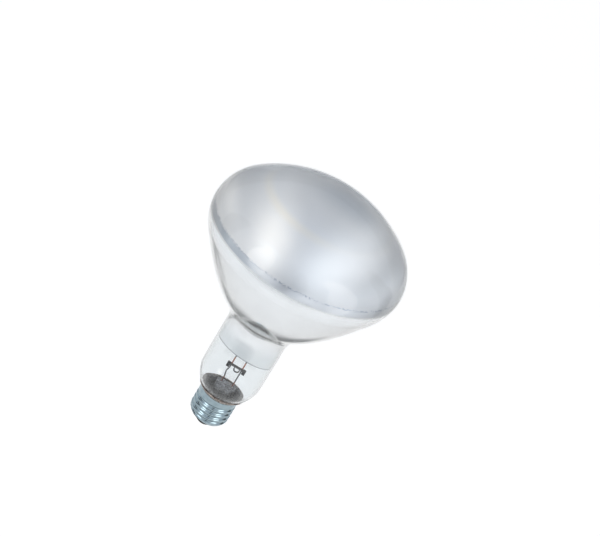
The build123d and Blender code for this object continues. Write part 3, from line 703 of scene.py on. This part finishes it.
def make_cement():
    """Ring of cement between the glass and the skirt, squeezed out above the skirt."""
    spun_top_z = CEMENT_TOP_Z + CEMENT_SPARE
    collar_z = SHELL_TOP_Z + CEMENT_LIFT
    skirt_inner_r = CREST_R - CREST_FLAT - SHELL_WALL - CEMENT_FIT
    inner_foot = (SEAL_R + COAT_GAP, SKIRT_Z)
    glass_side = [(r, z) for r, z in bulb_profile(-COAT_GAP) if SKIRT_Z < z < spun_top_z]
    open_side = [(r, z) for r, z in bulb_profile(-CEMENT_SWELL) if collar_z + CEMENT_LIFT < z < spun_top_z]
    skirt_side = [(skirt_inner_r, collar_z), (skirt_inner_r, SKIRT_Z)]
    ring = spun_piece("cement_ring", [inner_foot, *glass_side, *reversed(open_side), *skirt_side, inner_foot])
    cut_off(ring, (0, 0, CEMENT_TOP_Z * MM), (0, CEMENT_SLANT, 1))
    close_cut(ring)
    # painted light on the cement: both colours are lightened against its shade under the glass, and its cream
    # blotches are painted glints on the mottled brown
    cement = blotched(
        "squeezed cement with painted glints",
        clean=(0.2, 0.12, 0.085),
        stained_or_glinting=(0.8, 0.66, 0.56),
        rough=(0.2, 0.45),
        size=1.6,
        metallic=0.0,
        relief=0.08,
    )
    paint(ring, cement)
    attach(ring, "root")
    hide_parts("capping_cement")


def shell_blank_r(z):
    """Radius of the shell before its thread is rolled."""
    top_r = CREST_R - CREST_FLAT
    foot_top_r = top_r - THREAD_TAPER
    foot_top_z = SHELL_FOOT_Z + SHELL_FOOT_HEIGHT
    if z < foot_top_z:
        inward = foot_top_r - SHELL_FOOT_R
        round_r = (inward**2 + SHELL_FOOT_HEIGHT**2) / (2 * inward)
        return foot_top_r - round_r + math.sqrt(round_r**2 - (foot_top_z - z) ** 2)
    return foot_top_r + THREAD_TAPER * min(1, (z - foot_top_z) / (SKIRT_Z - foot_top_z))


def thread_r(z, turn):
    """Radius of the thread at a height, and at a share of a turn about the axis."""
    above_start = (z - THREAD_END_Z) / THREAD_PITCH + THREAD_TURNS - turn
    winding = round(above_start)
    from_root = abs(above_start - winding) * THREAD_PITCH
    round_r = THREAD_DEPTH / 4 + THREAD_PITCH**2 / (16 * THREAD_DEPTH)
    runout = max(0, winding + turn - THREAD_TURNS) / RUNOUT_TURN * THREAD_DEPTH
    if from_root < THREAD_PITCH / 4:
        return CREST_R - THREAD_DEPTH + runout + round_r - math.sqrt(round_r**2 - from_root**2)
    from_crest = THREAD_PITCH / 2 - from_root
    return CREST_R + runout - round_r + math.sqrt(round_r**2 - from_crest**2)


def roll_thread(shell):
    """Press the thread's groove into a plain shell."""
    for point in shell.data.vertices:
        turn = math.atan2(point.co.y, point.co.x) / (2 * math.pi) % 1
        blank_r = math.hypot(point.co.x, point.co.y) / MM
        rolled = min(1, thread_r(point.co.z / MM, turn) / blank_r)
        point.co.x *= rolled
        point.co.y *= rolled


def make_screw_shell():
    """Shell of the cap: spun as a plain cup, rolled to the thread, trimmed, then given its wall."""
    row_height = (SHELL_TOP_Z - SHELL_LIP_Z) / SHELL_ROWS
    heights = [SHELL_LIP_Z + row_height * row for row in range(SHELL_ROWS + 1)]
    shell = spun_piece("screw_shell_rolled", [(shell_blank_r(z), z) for z in heights])
    roll_thread(shell)
    side_x, side_y = SHELL_TRIM_SIDE
    lean = (SHELL_TRIM_SLOPE * side_x, SHELL_TRIM_SLOPE * side_y, -1)
    cut_off(shell, (0, 0, SHELL_TRIM_Z * MM), lean)
    outside = blotched(
        "cap nickel",
        clean=(0.31, 0.39, 0.425),
        stained_or_glinting=(0.26, 0.335, 0.37),
        rough=(0.08, 0.15),
        size=2.5,
        relief=0.004,
    )
    inside = blotched(
        "cap inside",
        clean=(0.03, 0.026, 0.022),
        stained_or_glinting=(0.05, 0.035, 0.028),
        rough=(0.5, 0.7),
        size=1.5,
    )
    paint(shell, outside, inside)
    thicken(shell, SHELL_WALL)
    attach(shell, "root")
    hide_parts("screw_shell")


def lead_wire():
    """Grey wire with copper-red stretches above the pinch and above the bridge."""
    material, tree, shader = new_material("lead wire")
    shader.inputs["Metallic"].default_value = 1.0
    shader.inputs["Roughness"].default_value = WIRE_ROUGH
    colour = WIRE_GREY
    for low, high in COPPER_STRETCHES:
        colour = mix_colour(tree, between(tree, low, high, COPPER_FADE), colour, COPPER_RED)
    tree.links.new(colour, shader.inputs["Base Color"])
    return material


def stem_glass():
    """Stem glass, painted dark at the flare as shade, and hazy above it."""
    material, tree, shader = glass("stem glass", STEM_TRANSMISSION)
    flare_shaded_z, clear_z = (height * MM for height in STEM_SHADE_Z)
    flare_shade = ramp(tree, height_on(tree), clear_z, flare_shaded_z)
    streaks = ramp(tree, noise_on(tree, STEM_STREAK), *STEM_SPAN, *STEM_ROUGH)
    tree.links.new(mix_colour(tree, flare_shade, STEM_CLEAR, STEM_SHADE), shader.inputs["Base Color"])
    tree.links.new(streaks, shader.inputs["Roughness"])
    return material


def quartz():
    """Clear quartz with slight draw lines."""
    material, tree, shader = glass("quartz")
    feed(tree, QUARTZ_CLEAR, shader.inputs["Base Color"])
    streaks = ramp(tree, noise_on(tree, QUARTZ_STREAK), *QUARTZ_SPAN, *QUARTZ_ROUGH)
    tree.links.new(streaks, shader.inputs["Roughness"])
    return material


def black_glass():
    """Dull black glass of the cap's foot."""
    return blotched(
        "black glass",
        clean=(0.006, 0.006, 0.008),
        stained_or_glinting=(0.014, 0.014, 0.015),
        rough=(0.5, 0.7),
        size=2,
        metallic=0.0,
        shine=MATT_SHINE,
    )


def bridge_ceramic():
    """Dark, dusty ceramic of the bar between the leads."""
    return blotched(
        "bridge ceramic",
        clean=(0.03, 0.03, 0.03),
        stained_or_glinting=(0.11, 0.105, 0.1),
        rough=(0.4, 0.6),
        size=0.8,
        metallic=0.0,
    )


def dress_mount_and_cap():
    """Finishes of the CAD pieces that stay in view, by their slots."""
    wire = blotched("nickel wire", (0.2, 0.2, 0.21), (0.12, 0.115, 0.11), rough=(0.3, 0.5), size=1.0)
    finishes = {
        "stem_glass": stem_glass(),
        "quartz": quartz(),
        "cap_black_glass": black_glass(),
        # painted shade: the brass contact is coloured near black for its shadow under the cap
        "contact_brass": blotched(
            "contact brass painted dark", (0.12, 0.105, 0.08), (0.05, 0.045, 0.04), rough=(0.3, 0.55), size=1.5
        ),
        "solder": blotched("solder", (0.42, 0.42, 0.42), (0.25, 0.25, 0.25), (0.3, 0.5), size=0.8, relief=0.03),
        "copper_wire": blotched("copper wire", COPPER_RED, (0.24, 0.1, 0.07), (0.3, 0.5), size=1.0),
        "nickel_wire": wire,
        "bridge_ceramic": bridge_ceramic(),
        "spring_steel": blotched("mount sheet", (0.05, 0.05, 0.053), (0.03, 0.03, 0.03), (0.3, 0.5), size=0.8),
        "mica": blotched("mica", (0.62, 0.57, 0.47), (0.5, 0.44, 0.34), (0.25, 0.5), size=3, metallic=0.0),
        "tungsten": blotched("tungsten", (0.3, 0.3, 0.32), (0.2, 0.2, 0.21), (0.4, 0.6), size=0.5),
        "molybdenum": wire,
    }
    for part in frame["record"]["subparts"]:
        if part["material_slot"] in finishes:
            paint(nodes[part["node"]], finishes[part["material_slot"]])
    leads = lead_wire()
    for side in ("left", "right"):
        paint(nodes[f"support_lead_{side}"], leads)


def make_camera():
    """Camera of the photograph, leaning down on the lamp and rolled."""
    lean = math.radians(CAMERA_ELEVATION)
    roll = math.radians(CAMERA_ROLL)
    ahead = Vector((0, math.cos(lean), -math.sin(lean)))
    level = Vector((1, 0, 0))
    upward = Vector((0, math.sin(lean), math.cos(lean)))
    right = math.cos(roll) * level + math.sin(roll) * upward
    top = math.cos(roll) * upward - math.sin(roll) * level
    place = Matrix((right, top, -ahead)).transposed().to_4x4()
    place.translation = Vector((0, 0, CAMERA_TARGET_Z)) - ahead * CAMERA_DISTANCE
    data = bpy.data.cameras.new("camera")
    data.lens = CAMERA_LENS
    data.sensor_width = CAMERA_SENSOR
    data.shift_x, data.shift_y = CAMERA_SHIFT
    data.clip_end = CAMERA_REACH
    camera = bpy.data.objects.new("camera", data)
    bpy.context.scene.collection.objects.link(camera)
    camera.matrix_world = place
    bpy.context.scene.camera = camera


def background_rays(tree):
    """One for the rays that see the background: from the camera, off gloss and through glass."""
    path = tree.nodes.new("ShaderNodeLightPath")
    shiny = calculate(tree, "MAXIMUM", path.outputs["Is Glossy Ray"], path.outputs["Is Transmission Ray"])
    return calculate(tree, "MAXIMUM", path.outputs["Is Camera Ray"], shiny)


def make_world():
    """Grey room light, and plain white for the rays that see the background."""
    world = bpy.data.worlds.new("studio")
    bpy.context.scene.world = world
    world.use_nodes = True
    tree = world.node_tree
    tree.nodes.clear()
    output = tree.nodes.new("ShaderNodeOutputWorld")
    choice = tree.nodes.new("ShaderNodeMixShader")
    tree.links.new(background_rays(tree), choice.inputs[0])
    for socket, colour, strength in ((1, ROOM_COLOUR, ROOM_STRENGTH), (2, WHITE, 1.0)):
        backdrop = tree.nodes.new("ShaderNodeBackground")
        backdrop.inputs["Color"].default_value = (*colour, 1)
        backdrop.inputs["Strength"].default_value = strength
        tree.links.new(backdrop.outputs[0], choice.inputs[socket])
    tree.links.new(choice.outputs[0], output.inputs[0])


def make_floor():
    """Pale floor that glows for the rays that see the background."""
    deselect_all()
    bpy.ops.mesh.primitive_plane_add(size=FLOOR_SIZE, location=(0, 0, FLOOR_Z))
    floor = bpy.context.object
    floor.name = "floor"
    material, tree, shader = new_material("floor")
    shader.inputs["Base Color"].default_value = (*FLOOR_COLOUR, 1)
    shader.inputs["Roughness"].default_value = 1.0
    shader.inputs["Emission Color"].default_value = (*WHITE, 1)
    glow = calculate(tree, "MULTIPLY", background_rays(tree), FLOOR_GLOW)
    tree.links.new(glow, shader.inputs["Emission Strength"])
    paint(floor, material)


def card_glow(name, colour, strength, feather):
    """Glow of a card, which a feather softens from its rim inwards."""
    material = bpy.data.materials.new(name)
    material.use_nodes = True
    tree = material.node_tree
    tree.nodes.clear()
    output = tree.nodes.new("ShaderNodeOutputMaterial")
    glow = tree.nodes.new("ShaderNodeEmission")
    glow.inputs["Color"].default_value = (*colour, 1)
    glow.inputs["Strength"].default_value = strength
    clear = tree.nodes.new("ShaderNodeBsdfTransparent")
    off_middle = vector_sum(tree, "LENGTH", place_on(tree))
    choice = tree.nodes.new("ShaderNodeMixShader")
    tree.links.new(ramp(tree, off_middle, CARD_RIM, CARD_INNER_RIM * (1 - feather)), choice.inputs[0])
    tree.links.new(clear.outputs[0], choice.inputs[1])
    tree.links.new(glow.outputs[0], choice.inputs[2])
    tree.links.new(choice.outputs[0], output.inputs[0])
    return material


def card(name, place, turn, size, colour, strength=1.0, feather=0.0, sees=("glossy",)):
    """Flat studio card that only the named rays see."""
    deselect_all()
    bpy.ops.mesh.primitive_plane_add(size=2 * CARD_RIM, location=place)
    flat = bpy.context.object
    flat.name = name
    flat.rotation_euler = turn
    flat.scale = (*size, 1)
    flat.visible_camera = False
    flat.visible_shadow = False
    flat.visible_volume_scatter = False
    flat.visible_diffuse = "diffuse" in sees
    flat.visible_glossy = "glossy" in sees
    flat.visible_transmission = "transmission" in sees
    paint(flat, card_glow(name, colour, strength, feather))


def turned(about_x=0, about_z=0):
    """Turn of a card from lying level, in degrees."""
    return (math.radians(about_x), 0, math.radians(about_z))


def aimed(place):
    """Turn that sets a card square to the line from its place to the lamp."""
    return (Vector(place) - Vector(LIGHTS_AIM)).to_track_quat("Z", "Y").to_euler()


def hang_lights():
    """Ceiling, two softboxes and a weak fill from the left."""
    card("ceiling", (0, 0, CEILING_Z), turned(), CEILING_SIZE, CEILING_COLOUR, sees=BOTH)
    for name, place, colour, strength in SOFTBOXES:
        card(name, place, aimed(place), SOFTBOX_SIZE, colour, strength, SOFTBOX_FEATHER, (*BOTH, "diffuse"))
    turn = aimed(FILL_PLACE)
    card("left fill", FILL_PLACE, turn, FILL_SIZE, FILL_COLOUR, FILL_STRENGTH, FILL_FEATHER, THROUGH)


def stand_tent():
    """Light and dark strips round the cap, which draw the thread's reflections."""
    for turn, width, strength, feather in TENT_STRIPS:
        around = math.radians(turn)
        place = (TENT_R * math.sin(around), -TENT_R * math.cos(around), TENT_Z)
        facing = turned(UPRIGHT, turn)
        card(f"tent strip {turn}", place, facing, (width, TENT_HEIGHT), WHITE, strength, feather)


def lay_flags():
    """Grey flags that shade the reflections in the silvering and the neck, and a grey card behind."""
    for name, x, y, turn, size, grey, rays in FLOOR_FLAGS:
        place = (x, y, FLOOR_Z + FLAG_LIFT)
        colour = tuple(grey * share for share in FLAG_TINT)
        card(name, place, turned(about_z=turn), size, colour, feather=FLAG_FEATHER, sees=rays)
    upright = turned(UPRIGHT)
    card("far flag", FAR_FLAG_PLACE, upright, FAR_FLAG_SIZE, FAR_FLAG_COLOUR, 1.0, FAR_FLAG_FEATHER, THROUGH)
    card("rear card", REAR_CARD_PLACE, upright, REAR_CARD_SIZE, REAR_CARD_COLOUR, 1.0, REAR_CARD_FEATHER)


make_bulb()
make_silvering()
make_cement()
make_screw_shell()
dress_mount_and_cap()
make_camera()
make_world()
make_floor()
hang_lights()
stand_tent()
lay_flags()

bpy.context.scene.view_settings.view_transform = "Standard"
